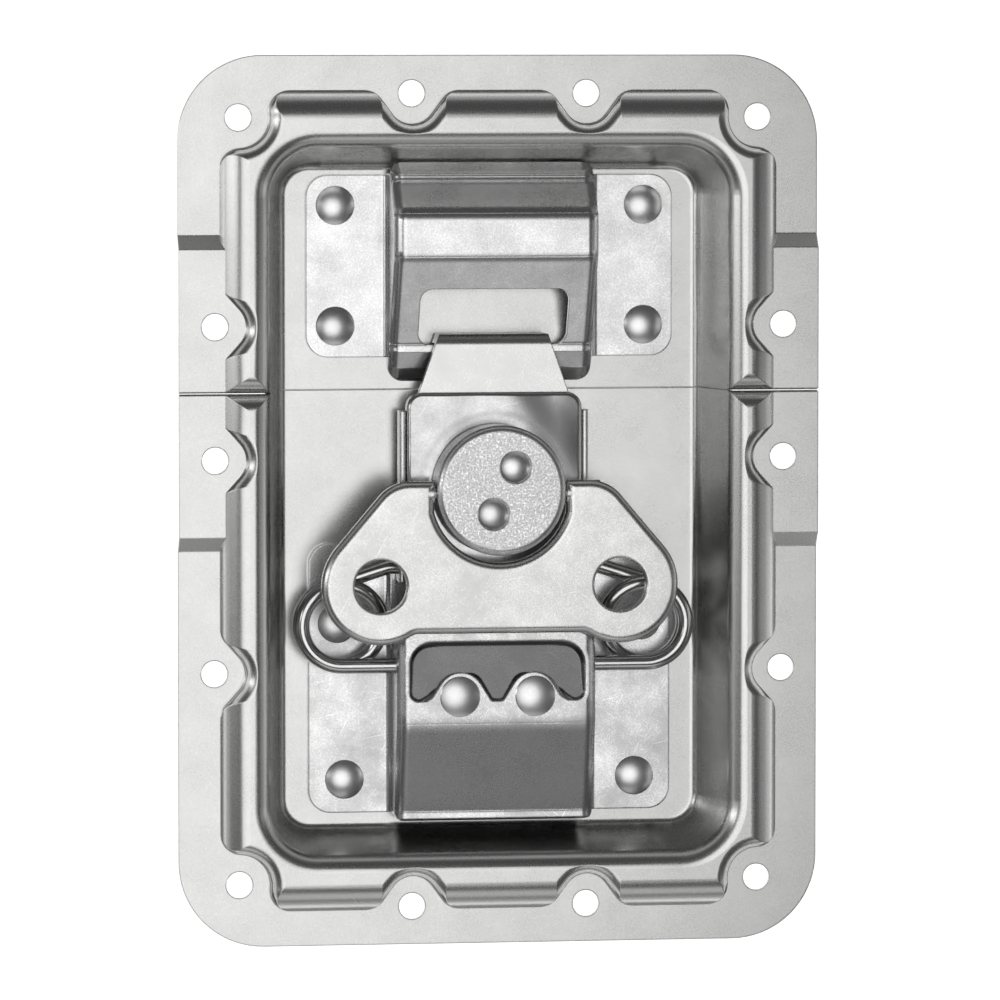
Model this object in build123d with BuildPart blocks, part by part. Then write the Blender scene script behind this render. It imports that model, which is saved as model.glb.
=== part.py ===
from build123d import *
import math
import os

os.makedirs("parts", exist_ok=True)

# A cranked, recessed butterfly latch for a flight case, all zinc plated steel.
# The row frame: z = 0 is the underside of the low flange, where the plates seat
# on the case panel.  +Y runs from the base half to the lid half.

# ---------------------------------------------------------------- dish plates
plate_w = 125.0          # overall width across X
plate_l = 172.0          # overall length along Y
plate_corner_r = 16.5
sheet_t = 1.2            # dish sheet
part_y = 21.0            # where lid and base halves meet
part_gap = 0.06

crank_rise = 2.0         # how far the flange steps up beside the parting line
crank_top_half = 27.7    # half length of the raised stretch
crank_ramp = 2.7
crank_soft_r = 1.6

bead_rise = 4.0          # crown of the bead above the low flange
bead_w = 108.6           # foot of the bead, across X
bead_l = 158.2
bead_flank_r = 2.4       # rounding from a scallop's flank to the crown
bead_sweep_r = 6.0       # the long rounding of a straight flank
bead_sweep_in = 5.3      # how far in from the foot it reaches the crown
bead_corner_r = 12.0
bead_blend_r = 4.0       # plan rounding where a scallop leaves the straight
bead_end_r = 3.4         # how the bead turns down at the parting line

pan_w = 90.8             # pan opening at the crown, sharp corner to sharp corner
pan_l = 137.6
pan_corner_r = 10.0
pan_lip_r = 3.6
pan_floor_z = -11.8      # upper face of the pan floor
pan_taper = 14.0         # wall slope, degrees
pan_floor_r = 1.6

# ------------------------------------------------------------- flange holes
hole_r = 2.55
corner_hole = (50.7, 74.0)
end_hole = (17.05, 78.6)
side_hole_x = 55.5
raised_hole_from_part = 12.85
low_side_hole_y = -33.1
scallop_tip = 6.0        # flange left inboard of a hole
scallop_nose_r = 4.8
scallop_half = 7.2       # half width where a scallop meets the bead foot
scallop_reach = 12.0

# ------------------------------------------------------------------- rivets
foot_rivet_r = 3.8
foot_rivet_dome = 1.9
clamp_rivet_r = 3.95
clamp_rivet_dome = 1.4
shank_r = 2.2
tail_r = 2.8
tail_t = 1.1

# ------------------------------------------------------------------- keeper
foot_t = 1.2
foot_bend_r = 1.2
foot_corner_r = 4.3
keeper_half_w = 20.0
keeper_foot_x = 36.0
keeper_foot_y = (27.3, 62.7)
keeper_rivets_x = 30.3
keeper_rivets_y = (33.4, 56.8)
keeper_crown_z = 0.2
keeper_crown_y = (47.0, 55.4)
keeper_shelf_y = 62.2
keeper_shelf_z = -4.6
keeper_end_y = 65.3
keeper_end_z = -7.8
keeper_bar_y = (28.4, 29.75)
keeper_bar_z = -7.6
keeper_bend_r = 2.2
keeper_nose_y = 22.6
keeper_bends = (1.4, 1.9, 6.0, 12.0, 2.0, 3.0, 4.0, 3.0)  # outside radii, from the end to the nose
keeper_plan_r = (3.0, 2.0)  # rounded corners in plan, nose and end
keeper_slot_x = 14.6
keeper_slot_far_y = 40.7
keeper_slot_r = 2.4

# --------------------------------------------------------------- base bracket
bracket_half_w = 19.5
bracket_foot_x = 35.6
bracket_foot_y = (-61.4, -8.7)
bracket_rivets = ((28.6, -54.9), (30.0, -24.5))
bracket_top_z = -0.3
bracket_front_y = -25.6
bracket_crest_y = -43.5
bracket_ramp_end = (-60.9, -4.4)
bracket_shelf = 1.4
bracket_lip_y = -62.9
bracket_lip_z = -7.4
bracket_bends = (1.3, 2.0, 20.0, 1.8)  # from the lip to the front edge
bracket_plan_r = (2.2, 4.5)  # lip and front
pocket_y = (-39.2, -27.4)
pocket_half_w = 17.3
pocket_depth = (0.6, 1.7)  # at its low and its high end
pocket_wall = 0.8
bracket_bend_r = 2.2
bracket_front_lip = 2.4
pocket_corner_r = 4.6
pocket_low_corner_r = 1.9
pocket_cusp_r = 0.8      # where a land's flank meets the low edge
pocket_draft = 32.0      # slope of the pressed walls, degrees
clamp_rivet_x = 7.37
clamp_rivet_y = -38.2
clamp_land_r = 4.7
clamp_land_half = 6.2
clamp_half_w = 13.0
clamp_t = 1.2
clamp_flat_z = -3.5
clamp_back_y = -42.4
clamp_gap = 0.3

# ----------------------------------------------------------------- wire spring
wire_r = 1.45
wire_fit = 0.05          # radial running clearance in the drilled walls
wire_y = -32.3           # the axis that the whole latch swings about
wire_z = -4.4
coil_x = 29.9
coil_r = 7.8
coil_pitch = 3.1
leg_angle = 17.7         # how the upper leg leans in to the carrier
wire_bend_r = 4.0
wire_end_x = 14.6        # where the wire stops inside the carrier

# --------------------------------------------------------------------- carrier
cover_half_w = 17.15
cover_t = 1.2
cover_top_z = -3.8
cover_y = (-10.4, 20.6)
cover_tail_y = -18.0
cover_corner_r = 3.0
cover_fold_r = 0.8
slide_gap = 0.1          # running gap above and below the hook
tray_gap = 0.15
tray_t = 1.2
tray_y = (-10.6, 17.1)
tray_top_z = -4.6
tray_edge_r = 0.45
ear_y = -16.2
ear_drop = 2.6           # ear below the wire's axis

# ------------------------------------------------------------------------ hook
hook_t = 1.8
hook_half_w = 15.6
hook_tail_y = -10.4
hook_neck_y = 18.0
hook_tip_half_w = 10.7
hook_catch_gap = 0.3     # play between the tab and the keeper's bar
tab_drop = 5.5
hook_travel = 7.0        # from pulled in to pushed out

# ---------------------------------------------------------------- knob and cam
knob_y = 2.0
knob_r = 12.6
knob_top_z = 5.6
knob_edge_r = 1.3
cam_flange_r = 11.6
cam_flange_t = 1.3
cam_flange_gap = 0.1
cam_collar_r = 10.4
cam_fit = 0.05
cam_r = 6.5
cam_window_gap = 0.85
journal_r = 3.6
washer_r = 7.0
washer_t = 0.9
stake_t = 0.9
pin_spacing = 10.0
pin_tilt = 25.3          # degrees off the Y axis
pin_shift_x = 0.55
pin_head_r = 3.0
pin_sink_r = 3.1
pin_sink_depth = 1.5
pin_shank_r = 1.7

# ------------------------------------------------------------------------ wing
wing_t = 1.2
wing_face_z = 4.2
wing_rim = 2.6
wing_edge_r = 1.4
wing_top_y = 3.8
wing_top_x = 21.2
wing_top_r = 8.0
lobe_centre = (23.4, -16.4)
lobe_r = 11.4
wing_low_y = -25.7
lobe_blend_r = 3.0
padlock_r = 5.15
padlock_lip_r = 0.4
crescent_y = 1.3
crescent_r = 13.4
arm_gap = 0.3
knuckle_r = 2.4
knuckle_end_x = 19.6
wing_pin_r = 1.2
wing_pin_fit = 0.05


keeper_rivet_spots = [(sx * keeper_rivets_x, y) for y in keeper_rivets_y for sx in (-1, 1)]
bracket_rivet_spots = [(sx * x, y) for x, y in bracket_rivets for sx in (-1, 1)]


def name_and_save(part, label):
    part.label = label
    export_step(part, f"parts/{label}.step")


def flat(z):
    return Plane.XY.offset(z)


def facing_down(z):
    return Plane(origin=(0, 0, z), x_dir=(1, 0, 0), z_dir=(0, 0, -1))


def edges_at(part, z):
    """Edges that lie in the plane z."""
    return part.edges().filter_by(
        lambda e: abs(e.bounding_box().min.Z - z) < 0.01 and abs(e.bounding_box().max.Z - z) < 0.01
    )


# ------------------------------------------------------------------ dish halves
crown_z = sheet_t + bead_rise
raised_hole_ys = (part_y - raised_hole_from_part, part_y + raised_hole_from_part)
side_hole_ys = (low_side_hole_y,) + raised_hole_ys


def crank_line(lift):
    """Y,Z points of the flange's lower face, raised beside the parting line."""
    reach = plate_l
    foot = crank_top_half + crank_ramp
    return [
        (-reach, lift),
        (part_y - foot, lift),
        (part_y - crank_top_half, crank_rise + lift),
        (part_y + crank_top_half, crank_rise + lift),
        (part_y + foot, lift),
        (reach, lift),
    ]


def flange_holes():
    spots = [(sx * corner_hole[0], sy * corner_hole[1]) for sx in (-1, 1) for sy in (-1, 1)]
    spots += [(sx * end_hole[0], sy * end_hole[1]) for sx in (-1, 1) for sy in (-1, 1)]
    spots += [(sx * side_hole_x, y) for sx in (-1, 1) for y in side_hole_ys]
    return spots


def tongue(hole, foot, inward, grow):
    """The flange left round a hole: a round nose with straight flanks."""
    nose = Vector(*hole) + Vector(*inward) * (scallop_tip - scallop_nose_r)
    mouth = Vector(*foot) - Vector(*inward) * (scallop_reach / 2)
    across = 2 * (scallop_half + grow)
    size = (scallop_reach, across) if inward[0] else (across, scallop_reach)
    with BuildSketch(mode=Mode.PRIVATE) as shape:
        with Locations((nose.X, nose.Y)):
            Circle(scallop_nose_r + grow)
        with Locations((mouth.X, mouth.Y)):
            Rectangle(*size)
        make_hull()
    return shape.sketch


def bead_outline(inset):
    """Foot of the bead, scalloped round every hole and drawn in by inset."""
    half_x = bead_w / 2 - inset
    half_y = bead_l / 2 - inset
    with BuildSketch(mode=Mode.PRIVATE) as outline:
        Rectangle(2 * half_x, 2 * half_y)
        for sx in (-1, 1):
            for y in side_hole_ys:
                add(tongue((sx * side_hole_x, y), (sx * half_x, y), (-sx, 0), inset), mode=Mode.SUBTRACT)
        for sx in (-1, 1):
            for sy in (-1, 1):
                x = sx * end_hole[0]
                hole = (x, sy * end_hole[1])
                add(tongue(hole, (x, sy * half_y), (0, -sy), inset), mode=Mode.SUBTRACT)
                with Locations((sx * corner_hole[0], sy * corner_hole[1])):
                    Circle(scallop_tip + inset, mode=Mode.SUBTRACT)
                reach = plate_corner_r
                with Locations((sx * (corner_hole[0] + reach / 2), sy * (corner_hole[1] + reach / 2))):
                    Rectangle(reach, reach, mode=Mode.SUBTRACT)
        on_foot = outline.vertices().filter_by(
            lambda v: abs(abs(v.X) - half_x) < 0.01 or abs(abs(v.Y) - half_y) < 0.01
        )
        fillet(on_foot, bead_blend_r - inset)
    return outline.sketch


def pan_outline(grow):
    with BuildSketch(mode=Mode.PRIVATE) as outline:
        RectangleRounded(pan_w + 2 * grow, pan_l + 2 * grow, pan_corner_r + grow)
    return outline.sketch


with BuildPart() as under_crank:
    with BuildSketch(Plane.YZ):
        with BuildLine():
            Polyline(*crank_line(0), (plate_l, -60), (-plate_l, -60), close=True)
        make_face()
    extrude(amount=plate_w, both=True)

pan_depth = crown_z - pan_floor_z
with BuildPart() as pan_outside:
    with BuildSketch(facing_down(crown_z)):
        add(pan_outline(sheet_t))
    extrude(amount=pan_depth + sheet_t, taper=pan_taper)
    fillet(edges_at(pan_outside, pan_floor_z - sheet_t), pan_floor_r + sheet_t)

with BuildPart() as pan_inside:
    with BuildSketch(facing_down(crown_z)):
        add(pan_outline(0))
    extrude(amount=pan_depth, taper=pan_taper)
    fillet(edges_at(pan_inside, pan_floor_z), pan_floor_r)


def ridge(pan, drop):
    """A plate that rounds off the bead: a long sweep outside, a lip into the pan."""
    overhang = bead_sweep_r - bead_sweep_in
    sweep_low = crown_z - bead_sweep_r - 0.1
    with BuildPart(mode=Mode.PRIVATE) as mound:
        with BuildSketch(flat(sweep_low)):
            RectangleRounded(bead_w + 2 * (overhang - drop), bead_l + 2 * (overhang - drop), bead_corner_r - drop)
        extrude(amount=crown_z - drop - sweep_low)
        fillet(edges_at(mound, crown_z - drop), bead_sweep_r - drop)
    with BuildPart(mode=Mode.PRIVATE) as plate:
        with BuildSketch(flat(pan_floor_z)):
            Rectangle(plate_w, plate_l)
        extrude(amount=crown_z - drop - pan_floor_z)
        add(pan, mode=Mode.SUBTRACT)
        mouth = edges_at(plate, crown_z - drop).filter_by(
            lambda e: abs(e.center().X) < bead_w / 2 and abs(e.center().Y) < bead_l / 2
        )
        fillet(mouth, pan_lip_r - drop)
        add(mound.part, mode=Mode.INTERSECT)
    return plate.part


with BuildPart() as bead_block:
    with BuildSketch():
        add(bead_outline(0))
    extrude(amount=crown_z)
    fillet(edges_at(bead_block, crown_z), bead_flank_r)
    add(ridge(pan_inside.part, 0), mode=Mode.INTERSECT)
    add(under_crank.part, mode=Mode.SUBTRACT)

with BuildPart() as bead_hollow:
    with BuildSketch(flat(-1)):
        add(bead_outline(sheet_t))
    extrude(amount=crown_z - sheet_t + 1)
    fillet(edges_at(bead_hollow, crown_z - sheet_t), bead_flank_r - sheet_t)
    add(ridge(pan_outside.part, sheet_t), mode=Mode.INTERSECT)

with BuildPart() as lip_cut:
    with BuildSketch(flat(crown_z - pan_lip_r)):
        add(pan_outline(pan_lip_r))
    extrude(amount=2 * pan_lip_r)
    add(ridge(pan_inside.part, 0), mode=Mode.SUBTRACT)

with BuildPart() as dish:
    with BuildSketch(Plane.YZ) as flange_section:
        with BuildLine():
            Polyline(*crank_line(0), *reversed(crank_line(sheet_t)), close=True)
        make_face()
        crests = flange_section.vertices().filter_by(lambda v: abs(v.Z - crank_rise - sheet_t) < 0.01)
        fillet(crests, crank_soft_r)
    extrude(amount=plate_w, both=True)
    with BuildSketch(flat(-1)):
        RectangleRounded(plate_w, plate_l, plate_corner_r)
    extrude(amount=20, mode=Mode.INTERSECT)
    with BuildSketch(flat(-1)):
        with Locations(*flange_holes()):
            Circle(hole_r)
    extrude(amount=20, mode=Mode.SUBTRACT)
    add(bead_block.part)
    add(bead_hollow.part, mode=Mode.SUBTRACT)
    add(pan_outside.part)
    add(pan_inside.part, mode=Mode.SUBTRACT)
    add(lip_cut.part, mode=Mode.SUBTRACT)


def half_dish(side):
    """Cut one half from the pressing; side is +1 for the lid, -1 for the base."""
    edge_y = part_y + side * part_gap / 2
    far = plate_l
    with BuildPart(mode=Mode.PRIVATE) as half:
        add(dish.part)
        with BuildSketch(flat(-40)):
            with Locations((0, edge_y + side * far / 2)):
                Rectangle(2 * plate_w, far)
        extrude(amount=80, mode=Mode.INTERSECT)
    with BuildPart(mode=Mode.PRIVATE) as turned_down:
        with BuildSketch(Plane.YZ):
            with Locations((edge_y + side * bead_end_r, crown_z - bead_end_r)):
                Circle(bead_end_r)
                Circle(bead_end_r - sheet_t, mode=Mode.SUBTRACT)
            with Locations((edge_y + side * bead_end_r / 2, crown_z - bead_end_r / 2)):
                Rectangle(bead_end_r, bead_end_r, mode=Mode.INTERSECT)
        extrude(amount=plate_w / 2, both=True)
        add(bead_block.part, mode=Mode.INTERSECT)
        add(pan_inside.part, mode=Mode.SUBTRACT)
    with BuildPart(mode=Mode.PRIVATE) as corner:
        with BuildSketch(Plane.YZ):
            with Locations((edge_y + side * bead_end_r / 2, crown_z)):
                Rectangle(bead_end_r, 2 * bead_end_r)
            with Locations((edge_y + side * bead_end_r, crown_z - bead_end_r)):
                Circle(bead_end_r, mode=Mode.SUBTRACT)
        extrude(amount=plate_w / 2, both=True)
    return half.part, turned_down.part, corner.part


def build_half(side, rivet_spots, label):
    half, turned_down, corner = half_dish(side)
    with BuildPart() as plate:
        add(half)
        add(corner, mode=Mode.SUBTRACT)
        add(turned_down)
        with BuildSketch(flat(pan_floor_z - 5)):
            with Locations(*rivet_spots):
                Circle(shank_r)
        extrude(amount=5.5, mode=Mode.SUBTRACT)
    name_and_save(plate.part, label)


build_half(1, keeper_rivet_spots, "lid_dish")
build_half(-1, bracket_rivet_spots, "base_dish")


# ------------------------------------------------------------------ bridges
foot_top_z = pan_floor_z + foot_t


def strap_section(top_line, bends, low_z):
    """The face under top_line (Y,Z points), with each inner point rounded by its bend."""
    with BuildSketch(Plane.YZ, mode=Mode.PRIVATE) as section:
        with BuildLine():
            Polyline(*top_line, (top_line[-1][0], low_z), (top_line[0][0], low_z), close=True)
        make_face()
        for (y, z), r in zip(top_line[1:-1], bends):
            corner = section.vertices().filter_by(lambda v: abs(v.Y - y) < 0.01 and abs(v.Z - z) < 0.01)
            fillet(corner, r)
    return section.sketch_local


def plan_corners(top_line, half_w, plan_r, inset):
    """What a strap loses where its corners are rounded in plan (radii at low Y, high Y)."""
    ends = sorted((top_line[0][0], top_line[-1][0]))
    with BuildPart(mode=Mode.PRIVATE) as waste:
        with BuildSketch(flat(pan_floor_z - 20)):
            for y, r, way in ((ends[0], plan_r[0], 1), (ends[1], plan_r[1], -1)):
                y_in = y + way * r
                y_out = y_in - way * 2 * r
                for sx in (-1, 1):
                    with Locations((sx * half_w, (y_in + y_out) / 2)):
                        Rectangle(2 * r, 2 * r)
            for y, r, way in ((ends[0], plan_r[0], 1), (ends[1], plan_r[1], -1)):
                with Locations((-half_w + r, y + way * r), (half_w - r, y + way * r)):
                    Circle(r - inset, mode=Mode.SUBTRACT)
        extrude(amount=40)
    return waste.part


def bridge(top_line, bends, half_w, bend_r, plan_r, foot_x, foot_y, end_cut):
    """A strap pressed to top_line, with a riveted foot each side.

    end_cut is (y, z): beyond y the sides stop at height z, clear of the pan wall."""
    toward = math.copysign(1, end_cut[0])
    deep = pan_floor_z - 20
    with BuildPart(mode=Mode.PRIVATE) as hollow:
        with BuildSketch(Plane.YZ):
            add(strap_section(top_line, bends, deep))
            offset(amount=-foot_t, kind=Kind.INTERSECTION)
        extrude(amount=half_w - foot_t, both=True)
        add(plan_corners(top_line, half_w, plan_r, foot_t), mode=Mode.SUBTRACT)
    with BuildPart() as strap:
        with BuildSketch(Plane.YZ):
            add(strap_section(top_line, bends, pan_floor_z))
        extrude(amount=half_w, both=True)
        along = strap.edges().filter_by(
            lambda e: abs(abs(e.center().X) - half_w) < 0.01 and e.bounding_box().min.Z > pan_floor_z + 1
            and e.bounding_box().size.Y > 0.6 * e.bounding_box().size.Z
        )
        fillet(along, bend_r)
        add(plan_corners(top_line, half_w, plan_r, 0), mode=Mode.SUBTRACT)
        mid_y = (foot_y[0] + foot_y[1]) / 2
        with BuildSketch(flat(pan_floor_z)):
            with Locations((0, mid_y)):
                RectangleRounded(2 * foot_x, foot_y[1] - foot_y[0], foot_corner_r)
        extrude(amount=foot_t)
        for sx in (-1, 1):
            with BuildSketch(Plane(origin=(0, foot_y[1], 0), x_dir=(1, 0, 0), z_dir=(0, -1, 0))):
                with Locations((sx * (half_w + foot_bend_r / 2), foot_top_z + foot_bend_r / 2)):
                    Rectangle(foot_bend_r, foot_bend_r)
                with Locations((sx * (half_w + foot_bend_r), foot_top_z + foot_bend_r)):
                    Circle(foot_bend_r, mode=Mode.SUBTRACT)
            extrude(amount=foot_y[1] - foot_y[0])
        add(hollow.part, mode=Mode.SUBTRACT)
        with BuildSketch(flat(pan_floor_z)):
            with Locations((0, mid_y)):
                Rectangle(2 * (half_w - foot_t), foot_y[1] - foot_y[0])
        extrude(amount=foot_t, mode=Mode.SUBTRACT)
        with BuildSketch(flat(deep)):
            with Locations((0, end_cut[0] + toward * 10)):
                Rectangle(4 * half_w, 20)
        extrude(amount=end_cut[1] - deep, mode=Mode.SUBTRACT)
    return strap


keeper_line = [
    (keeper_end_y, keeper_end_z),
    (keeper_shelf_y + 0.9, keeper_shelf_z),
    (keeper_shelf_y - 0.5, keeper_shelf_z),
    (keeper_crown_y[1], keeper_crown_z),
    (keeper_crown_y[0], keeper_crown_z),
    (keeper_bar_y[1], keeper_bar_z),
    (keeper_bar_y[0], keeper_bar_z),
    (keeper_bar_y[0] - 3.2, keeper_bar_z - 1.2),
    (keeper_nose_y + 0.6, keeper_bar_z - 2.9),
    (keeper_nose_y, pan_floor_z + 0.4),
]
keeper_blank = bridge(keeper_line, keeper_bends, keeper_half_w, keeper_bend_r, keeper_plan_r,
                      keeper_foot_x, keeper_foot_y, (keeper_foot_y[1] + 0.2, keeper_end_z))
with BuildPart() as keeper:
    add(keeper_blank.part)
    with BuildSketch(flat(pan_floor_z - 5)):
        with Locations(*keeper_rivet_spots):
            Circle(shank_r)
    extrude(amount=8, mode=Mode.SUBTRACT)
    with BuildSketch(flat(pan_floor_z + 1)):
        with Locations((0, (keeper_bar_y[1] + keeper_slot_far_y) / 2)):
            RectangleRounded(2 * keeper_slot_x, keeper_slot_far_y - keeper_bar_y[1], keeper_slot_r)
    extrude(amount=20, mode=Mode.SUBTRACT)
name_and_save(keeper.part, "keeper")


bracket_line = [
    (bracket_front_y, bracket_top_z - bracket_front_lip),
    (bracket_front_y, bracket_top_z),
    (bracket_crest_y, bracket_top_z),
    (bracket_ramp_end[0], bracket_ramp_end[1]),
    (bracket_ramp_end[0] - bracket_shelf, bracket_ramp_end[1]),
    (bracket_lip_y, bracket_lip_z),
]
bracket_blank = bridge(bracket_line[::-1], bracket_bends, bracket_half_w, bracket_bend_r, bracket_plan_r,
                       bracket_foot_x, bracket_foot_y, (bracket_foot_y[0] - 0.2, bracket_lip_z))


def land(x):
    """The raised land left round one clamp rivet, a round nose on a wide foot."""
    with BuildSketch(mode=Mode.PRIVATE) as shape:
        with Locations((x, clamp_rivet_y)):
            Circle(clamp_land_r)
        with Locations((x, pocket_y[0] - 1.5)):
            Rectangle(2 * clamp_land_half, 3)
        make_hull()
    return shape.sketch


def pocket_outline(grow):
    with BuildSketch(mode=Mode.PRIVATE) as outline:
        with Locations((0, (pocket_y[0] + pocket_y[1]) / 2)):
            Rectangle(2 * pocket_half_w, pocket_y[1] - pocket_y[0])
        upper = outline.vertices().group_by(Axis.Y)[-1]
        fillet(upper, pocket_corner_r)
        lower = outline.vertices().group_by(Axis.Y)[0]
        fillet(lower, pocket_low_corner_r)
        for sx in (-1, 1):
            add(land(sx * clamp_rivet_x), mode=Mode.SUBTRACT)
        cusps = outline.vertices().filter_by(
            lambda v: abs(v.Y - pocket_y[0]) < 0.01 and abs(v.X) < pocket_half_w - 1.5 * pocket_low_corner_r
        )
        fillet(cusps, pocket_cusp_r)
        if grow:
            offset(amount=grow)
    return outline.sketch


def above_pocket_floor(drop):
    """Everything above the tilted pocket floor, lowered by drop."""
    slope = (pocket_depth[0] - pocket_depth[1]) / (pocket_y[1] - pocket_y[0])
    low = (pocket_y[0] - 6, bracket_top_z - pocket_depth[0] - 6 * slope - drop)
    high = (pocket_y[1] + 6, bracket_top_z - pocket_depth[1] + 6 * slope - drop)
    with BuildPart(mode=Mode.PRIVATE) as region:
        with BuildSketch(Plane.YZ):
            with BuildLine():
                Polyline(low, high, (high[0], 20), (low[0], 20), close=True)
            make_face()
        extrude(amount=bracket_half_w, both=True)
    return region.part


def pocket_block(grow, drop, draft):
    """The pressed hollow or, grown and dropped, the sheet round it."""
    with BuildPart(mode=Mode.PRIVATE) as block:
        with BuildSketch(flat(bracket_top_z)):
            add(pocket_outline(grow))
        extrude(amount=-(pocket_depth[1] + drop + 0.5), taper=draft)
        add(above_pocket_floor(drop), mode=Mode.INTERSECT)
    return block.part


with BuildPart() as bracket:
    add(bracket_blank.part)
    add(pocket_block(pocket_wall, foot_t, 0))
    add(pocket_block(0, 0, pocket_draft), mode=Mode.SUBTRACT)
    with BuildSketch(flat(pan_floor_z - 5)):
        with Locations(*bracket_rivet_spots):
            Circle(shank_r)
    extrude(amount=8, mode=Mode.SUBTRACT)
    with BuildSketch(flat(bracket_top_z - 4)):
        with Locations((clamp_rivet_x, clamp_rivet_y), (-clamp_rivet_x, clamp_rivet_y)):
            Circle(shank_r)
    extrude(amount=8, mode=Mode.SUBTRACT)
    with BuildSketch(Plane.YZ):
        with Locations((wire_y, wire_z)):
            Circle(wire_r + wire_fit)
    extrude(amount=bracket_foot_x, both=True, mode=Mode.SUBTRACT)
name_and_save(bracket.part, "bracket")


# ------------------------------------------------------------------ wire clamp
trough_half = wire_r + clamp_gap
trough_back = wire_y - trough_half - clamp_t
trough_front = wire_y + trough_half + clamp_t
trough_low = wire_z - trough_half - clamp_t
boss_r = clamp_land_r - pocket_wall - 0.3
land_under_z = bracket_top_z - foot_t

with BuildPart() as wire_clamp:
    with BuildSketch(Plane.YZ) as clamp_section:
        with BuildLine():
            Polyline(
                (clamp_back_y, clamp_flat_z),
                (trough_back + clamp_t, clamp_flat_z),
                (trough_back + clamp_t, trough_low + clamp_t),
                (trough_front - clamp_t, trough_low + clamp_t),
                (trough_front - clamp_t, wire_z),
                (trough_front, wire_z),
                (trough_front, trough_low),
                (trough_back, trough_low),
                (trough_back, clamp_flat_z - clamp_t),
                (clamp_back_y, clamp_flat_z - clamp_t),
                close=True,
            )
        make_face()
        low_inside = clamp_section.vertices().filter_by(lambda v: abs(v.Z - trough_low - clamp_t) < 0.01)
        fillet(low_inside, 1.0)
        low_outside = clamp_section.vertices().filter_by(lambda v: abs(v.Z - trough_low) < 0.01)
        fillet(low_outside, 1.9)
    extrude(amount=clamp_half_w, both=True)
    with BuildSketch(flat(clamp_flat_z - 0.2)):
        with Locations((clamp_rivet_x, clamp_rivet_y), (-clamp_rivet_x, clamp_rivet_y)):
            Circle(boss_r)
    extrude(amount=land_under_z - clamp_flat_z + 0.2)
    with BuildSketch(flat(clamp_flat_z - 4)):
        with Locations((clamp_rivet_x, clamp_rivet_y), (-clamp_rivet_x, clamp_rivet_y)):
            Circle(shank_r)
    extrude(amount=10, mode=Mode.SUBTRACT)
name_and_save(wire_clamp.part, "wire_clamp")


# --------------------------------------------------------------------- rivets
def domed_rivet(label, spot, seat_z, head_r, dome, grip):
    """A round head on seat_z, a shank through grip and a pressed tail below it."""
    axis = Axis((spot[0], spot[1], 0), (0, 0, 1))
    section = Plane(origin=(spot[0], spot[1], seat_z), x_dir=(1, 0, 0), z_dir=(0, -1, 0))
    ball_r = (head_r ** 2 + dome ** 2) / (2 * dome)
    with BuildPart() as rivet:
        with BuildSketch(section):
            with BuildLine():
                crown = Line((0, -grip - tail_t), (0, dome))
                RadiusArc(crown @ 1, (head_r, 0), ball_r)
                Polyline(
                    (head_r, 0),
                    (shank_r, 0),
                    (shank_r, -grip),
                    (tail_r, -grip),
                    (tail_r - 0.5, -grip - tail_t),
                    (0, -grip - tail_t),
                )
            make_face()
        revolve(axis=axis)
    name_and_save(rivet.part, label)


pan_grip = foot_t + sheet_t
for number, spot in enumerate(keeper_rivet_spots, 1):
    domed_rivet(f"keeper_rivet_{number}", spot, foot_top_z, foot_rivet_r, foot_rivet_dome, pan_grip)
for number, spot in enumerate(bracket_rivet_spots, 1):
    domed_rivet(f"bracket_rivet_{number}", spot, foot_top_z, foot_rivet_r, foot_rivet_dome, pan_grip)
clamp_grip = bracket_top_z - clamp_flat_z + clamp_t
for number, sx in enumerate((-1, 1), 1):
    domed_rivet(f"clamp_rivet_{number}", (sx * clamp_rivet_x, clamp_rivet_y), bracket_top_z,
                clamp_rivet_r, clamp_rivet_dome, clamp_grip)

# ---------------------------------------------------------------- spring wire
tray_wall_x = cover_half_w + tray_gap
low_z = wire_z - coil_pitch
coil_y = wire_y + coil_r
leg_turn = 90 - leg_angle
leg_x = coil_x + coil_r * math.cos(math.radians(leg_turn))
leg_y = coil_y + coil_r * math.sin(math.radians(leg_turn))
leg_end_x = tray_wall_x + tray_t + 1.8
wire_end_y = leg_y + (leg_x - leg_end_x) * math.tan(math.radians(leg_angle))
coil_tilt = math.degrees(math.atan(coil_pitch / 2 / coil_r))
inner_r = coil_r / math.cos(math.radians(coil_tilt))

with BuildPart() as wire_half:
    with BuildLine() as wire_run:
        Line((0, wire_y, wire_z), (coil_x, wire_y, wire_z))
        with BuildLine(Plane((coil_x, coil_y, wire_z))):
            CenterArc((0, 0), coil_r, -90, 180)
        with BuildLine(Plane((coil_x, coil_y, (wire_z + low_z) / 2)).rotated((coil_tilt, 0, 0))):
            CenterArc((0, 0), inner_r, 90, 180)
        with BuildLine(Plane((coil_x, coil_y, low_z))):
            CenterArc((0, 0), coil_r, -90, 90 + leg_turn)
        FilletPolyline(
            (leg_x, leg_y, low_z),
            (leg_end_x, wire_end_y, low_z),
            (wire_end_x, wire_end_y, low_z),
            radius=wire_bend_r,
        )
    with BuildSketch(Plane.YZ):
        with Locations((wire_y, wire_z)):
            Circle(wire_r)
    sweep()
with BuildPart() as wire_spring:
    add(wire_half.part)
    mirror(about=Plane.YZ)
name_and_save(wire_spring.part, "wire_spring")

# ----------------------------------------------------------------- latch slide
cover_under_z = cover_top_z - cover_t
hook_top_z = cover_under_z - slide_gap
tray_floor_z = hook_top_z - hook_t - slide_gap
ear_low_z = low_z - ear_drop

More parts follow.
